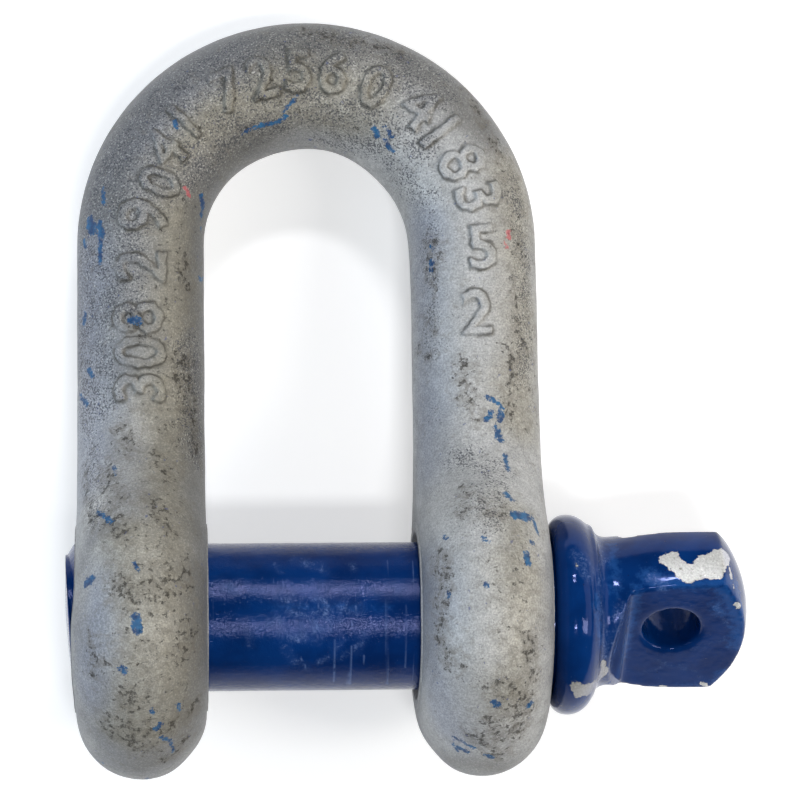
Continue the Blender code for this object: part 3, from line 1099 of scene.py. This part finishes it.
LINES = (
    (0.5, 334, 640, 334, 682), (0.5, 351, 646, 350, 684), (0.6, 387, 600, 387, 684),
    (0.4, 405, 604, 405, 668), (0.4, 364, 655, 363, 664), (0.4, 387, 560, 387, 584),
    (0.4, 345, 672, 345, 684), (0.3, 413, 560, 413, 680), (0.4, 212, 590, 212, 640),
    (0.4, 300, 656, 306, 668), (0.4, 318, 604, 322, 620), (0.4, 356, 606, 352, 626),
)
pin_skin = skin_of(painted_pin)
for name, strokes in (("chip", CHIPS), ("scuff", SCUFFS), ("line", LINES)):
    paint_field(painted_pin, pin_skin, name, strokes, -2.0)
paint_field(painted_pin, pin_skin, "worn_and_sheen", WORN_AND_SHEEN, -3.0)

# %% The pin handed over
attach(painted_pin, "pin")
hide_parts("screw_pin")
print("the pin has", len(painted_pin.data.vertices), "points")

# %% [markdown]
# ## Finishes
#
# Hot-dip zinc that has weathered is a dull mid grey, part metal and part chalky skin. Large
# clouds lighten and darken it. Stored fields paint light and shade into it: a lighter stretch, a
# warm cast, a cool cast and shade, each with its edge broken up by clouds. A fine grain like that
# of sandpaper covers it.

# %% Greys of the zinc
zinc = Finish("galvanised steel")
at = zinc.place()
clouds = zinc.noise(7 * MM, 3.0, 0.6, at)
mottle = zinc.noise(1.8 * MM, 3.0, 0.6, at)
grain = zinc.noise(0.32 * MM, 2.0, 0.6, at)
cast = zinc.noise(13 * MM, 2.0, 0.5, at)

# painted light: the grey is lighter inside these strokes
painted_light = zinc.ramp(zinc.field("painted_light") + (clouds - 0.5) * 16.0, -11.0, 9.0)
grey = zinc.mix(zinc.ramp(clouds, 0.3, 0.7), (146, 147, 148), (164, 164, 162))
grey = zinc.mix(painted_light * 0.8, grey, (214, 214, 212))
drift = (cast - 0.5) * 9.0
# a painted warm cast, which also marks where grime gathers further down
painted_warm_light_and_grime = zinc.ramp(zinc.field("painted_warm_light_and_grime") + drift, -4.0, 4.0)
grey = zinc.mix(painted_warm_light_and_grime * 0.62, grey, zinc.mix(painted_light, (168, 161, 138), (178, 172, 154)))
# a painted cool cast
cool = zinc.ramp(zinc.field("cool") + drift, -4.0, 4.0)
grey = zinc.mix(cool * 0.5, grey, (150, 158, 178))
# painted shade: the grey is darker inside these strokes
painted_shade = zinc.ramp(zinc.field("painted_shade") + (clouds - 0.5) * 6.0, -4.0, 3.0)
grey = zinc.mix(painted_shade * 0.6, grey, (104, 103, 98))
grey = zinc.mix(zinc.ramp(mottle, 0.35, 0.65, 0.18, 0.0), grey, (108, 108, 108))
grey = zinc.mix(zinc.ramp(grain, 0.3, 0.7, 0.40, 0.0), grey, (80, 81, 84))
dense = zinc.ramp(zinc.field("speckled"), -3.0, 2.0)
glint = zinc.ramp(grain, 0.54, 0.72) * (dense * 0.36 + 0.14)
grey = zinc.mix(glint, grey, (218, 217, 211))
print("the greys take", len(zinc.tree.nodes), "nodes")

# %% [markdown]
# Dark specks sit in the grain, more of them where `speckled` says. Dirt fills larger pits and
# leaves a brownish film in the patches of `dirt`, and a little of both where the painted warm
# cast lies. A line of painted shade follows the foot of each figure, and the bores are darkened
# with painted shade.

# %% Specks, dirt, pits and painted shade
patch = zinc.noise(3.0 * MM, 2.0, 0.6, at)
crowd = dense * 0.15 + zinc.ramp(patch, 0.35, 0.7, -0.02, 0.06)
fine_noise = zinc.noise(0.33 * MM, 2.0, 0.6, at)
specks = zinc.ramp(fine_noise - crowd, 0.25, 0.31, 1.0, 0.0)
dirt_near = zinc.ramp(zinc.field("dirt") + (mottle - 0.5) * 4.0, -2.6, 1.6) | painted_warm_light_and_grime * 0.6
pit_noise = zinc.noise(1.15 * MM, 5.0, 0.72, at)
pits = zinc.ramp(pit_noise - dirt_near * 0.15, 0.26, 0.33, 1.0, 0.0)
film = zinc.ramp(zinc.noise(1.6 * MM, 4.0, 0.7, at) + dirt_near * 0.15, 0.52, 0.72)
stain = zinc.noise(1.5 * MM, 5.0, 0.75, at, 0.8) + dirt_near * 0.12
stain = zinc.ramp(stain, 0.56, 0.74) * dirt_near
figure = zinc.field("figure")
# painted shade: a dark line along the foot of each raised figure
foot = zinc.ramp(figure, -0.65, -0.15) * zinc.ramp(figure, 0.0, 0.3, 1.0, 0.0)

skin = zinc.mix(film * 0.36, grey, (112, 106, 94))
skin = zinc.mix(stain * 0.42, skin, (92, 85, 72))
skin = zinc.mix(specks * 0.75, skin, (62, 64, 72))
skin = zinc.mix(foot * zinc.ramp(patch, 0.3, 0.65, 0.05, 0.7), skin, (82, 80, 73))
skin = zinc.mix(pits * (0.3 + fine_noise * 0.85), skin, (44, 41, 36))
# painted shade: the bores and their mouths are darkened
bore = zinc.ramp(zinc.field("bore") + (mottle - 0.5) * 1.2, 13.9, 14.9, 1.0, 0.0)
skin = zinc.mix(bore * 0.8, skin, (38, 37, 34))
print("with the dirt it takes", len(zinc.tree.nodes), "nodes")

# %% [markdown]
# Rubbed-off paint is solid in the middle of a stroke and broken at its ragged edge. Height for
# the bump comes from the same masks, so that pits lie low and smears a touch high.

# %% Rubbed-off paint, and the zinc put together
rough_edge = zinc.noise(0.8 * MM, 4.0, 0.72, at) * 1.9 - 0.74
smear_field = zinc.field("smear") + rough_edge
rubbed = zinc.ramp(zinc.noise(0.5 * MM, 3.0, 0.6, at), 0.36, 0.50)
smear = zinc.ramp(smear_field, 0.0, 0.18) * (zinc.ramp(smear_field, 0.1, 0.6) | rubbed)
blue_tone = zinc.mix(zinc.ramp(mottle, 0.3, 0.7), (0, 50, 98), (14, 98, 146))
skin = zinc.mix(smear * 0.95, skin, blue_tone)
fleck = zinc.ramp(zinc.noise(0.9 * MM, 1.0, 0.5, at), 0.70, 0.76) * zinc.ramp(patch, 0.48, 0.60)
skin = zinc.mix(fleck * 0.6, skin, (62, 76, 128))
red = zinc.ramp(zinc.field("red") + rough_edge, 0.0, 0.25) * 0.6
skin = zinc.mix(red, skin, (206, 84, 96))

height = grain * 0.5 + mottle * 0.9 - specks * 0.22 - pits * 0.55 + smear * 0.12
normal = zinc.bump(height, 0.10 * MM)
metal = 0.4 - pits * 0.4 - film * 0.2 - smear * 0.4 - bore * 0.4
rough = 0.56 + pits * 0.3 + film * 0.12 - glint * 0.15
galvanised = zinc.surface(base_color=skin, metallic=metal, roughness=rough, normal=normal)
print("galvanised steel has", len(zinc.tree.nodes), "nodes")

# %% [markdown]
# The pin's paint is a deep gloss blue, brushed or dipped on, with a slight orange peel. It is
# lighter where it is worn thin, and in a painted sheen along the shaft, both from one stored
# field. Pale scratches lie over it where `scuff` says, thin straight ones where `line` says, and
# dust and small dark dots everywhere.

# %% Blue coat
SHAFT_SIDE, HEAD_SIDE = 0.0, 6 * MM
blue = Finish("blue paint")
at = blue.place()
drift = blue.noise(9 * MM, 3.0, 0.55, at)
peel = blue.noise(1.3 * MM, 2.0, 0.5, at)
dust = blue.noise(0.38 * MM, 3.0, 0.7, at)
ragged = blue.noise(1.1 * MM, 4.0, 0.7, at)
wisps = blue.noise(2.0 * MM, 8.0, 0.78, at, 0.5)
along = blue.node("SeparateXYZ", None, {0: at}, 0)
rubbed = blue.ramp(along, SHAFT_SIDE, HEAD_SIDE, 1.0, 0.0)

coat = blue.mix(blue.ramp(drift, 0.35, 0.65), (0, 37, 91), (3, 49, 111))
# lighter paint where it is worn thin, and a painted sheen band along the shaft
thin_and_sheen = blue.ramp(blue.field("worn_and_sheen") + (ragged - 0.5) * 5.0, -0.6, 1.4)
coat = blue.mix(thin_and_sheen * (0.12 + wisps * 0.7), coat, (40, 92, 160))
scuffed = blue.ramp(blue.field("scuff") + (ragged - 0.5) * 2.0, -0.7, 0.8)
broken = blue.ramp(dust, 0.40, 0.60, 0.15, 1.0)
line = blue.ramp(blue.field("line"), -0.12, 0.16) * blue.ramp(ragged, 0.30, 0.48) * 0.7
scratch = scuffed * blue.ramp(wisps, 0.46, 0.66) * broken | line
coat = blue.mix(scuffed * 0.10, coat, (60, 92, 150))
coat = blue.mix(scratch * 0.56, coat, (112, 138, 186))
grit = blue.ramp(dust - drift * 0.12, 0.60, 0.68)
coat = blue.mix(grit * 0.22, coat, (90, 108, 150))
dots = blue.ramp(blue.noise(0.8 * MM, 2.0, 0.6, at), 0.22, 0.27, 1.0, 0.0)
coat = blue.mix(dots * 0.6, coat, (8, 16, 34))
print("the coat takes", len(blue.tree.nodes), "nodes")

# %% [markdown]
# Where `chip` says, the paint is gone: bright pitted metal shows, a step lower than the paint,
# with a dark rim at its edge. The chip by the collar is darker, with painted shade and dirt. The
# shaft's paint is rubbed uneven, so its streaks of light are broken, while the head stays even.

# %% Chips, and the paint put together
LUG_SIDE, COLLAR_SIDE = 38 * MM, 32 * MM
edge = blue.field("chip") + (ragged - 0.5) * 2.0
bare = blue.ramp(edge, -0.04, 0.06)
rim = blue.ramp(edge, -0.22, -0.04) * (1 - bare)
bright = blue.mix(blue.ramp(dust, 0.35, 0.65), (198, 198, 194), (226, 225, 220))
bright = blue.mix(blue.ramp(ragged, 0.28, 0.40, 0.75, 0.0), bright, (120, 116, 104))
# painted shade and dirt: the bare metal is darker towards the collar
shade_and_dirt_by_collar = blue.ramp(along, COLLAR_SIDE, LUG_SIDE, 0.55, 0.0)
bright = blue.mix(shade_and_dirt_by_collar, bright, (112, 110, 102))
coat = blue.mix(rim * 0.55, coat, (60, 72, 98))
colour = blue.mix(bare, coat, bright)

height = peel * 0.16 + drift * 0.5 + rubbed * (ragged * 0.62 + dust * 0.18)
height = height + scratch * 0.05 - dots * 0.25 - bare * (0.9 - dust * 0.7 - ragged * 0.4)
normal = blue.bump(height, 0.16 * MM)
dulled = rubbed * blue.ramp(ragged, 0.46, 0.60)
rough = 0.095 + dulled * 0.07 + scuffed * 0.06 + scratch * 0.2 + grit * 0.2 + bare * 0.12
painted = blue.surface(
    base_color=colour, metallic=bare * 0.4, roughness=rough, normal=normal,
    specular_ior_level=0.28, specular_tint=(0.46, 0.52, 0.95, 1.0),
)
print("blue paint has", len(blue.tree.nodes), "nodes")

# %% [markdown]
# Both pieces are shaded smooth, with edges left sharp where two faces meet at more than 40
# degrees, and each takes its finish.

# %% Finishes put on
SHARP = math.radians(40)
for piece, finish in ((forged_bow, galvanised), (painted_pin, painted)):
    piece.data.shade_smooth()
    piece.data.set_sharp_from_angle(angle=SHARP)
    piece.data.materials.clear()
    piece.data.materials.append(finish)
    piece.data.calc_loop_triangles()
    print(piece.name, "has", len(piece.data.loop_triangles), "triangles")

# %% Sizes and finish
boxes = {}
for name, box in (("cad", cad_box), ("shown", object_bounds())):
    boxes[name] = [list(corner) for corner in box]
for name, (low, high) in boxes.items():
    print(name, [round((b - a) / MM, 2) for a, b in zip(low, high)])
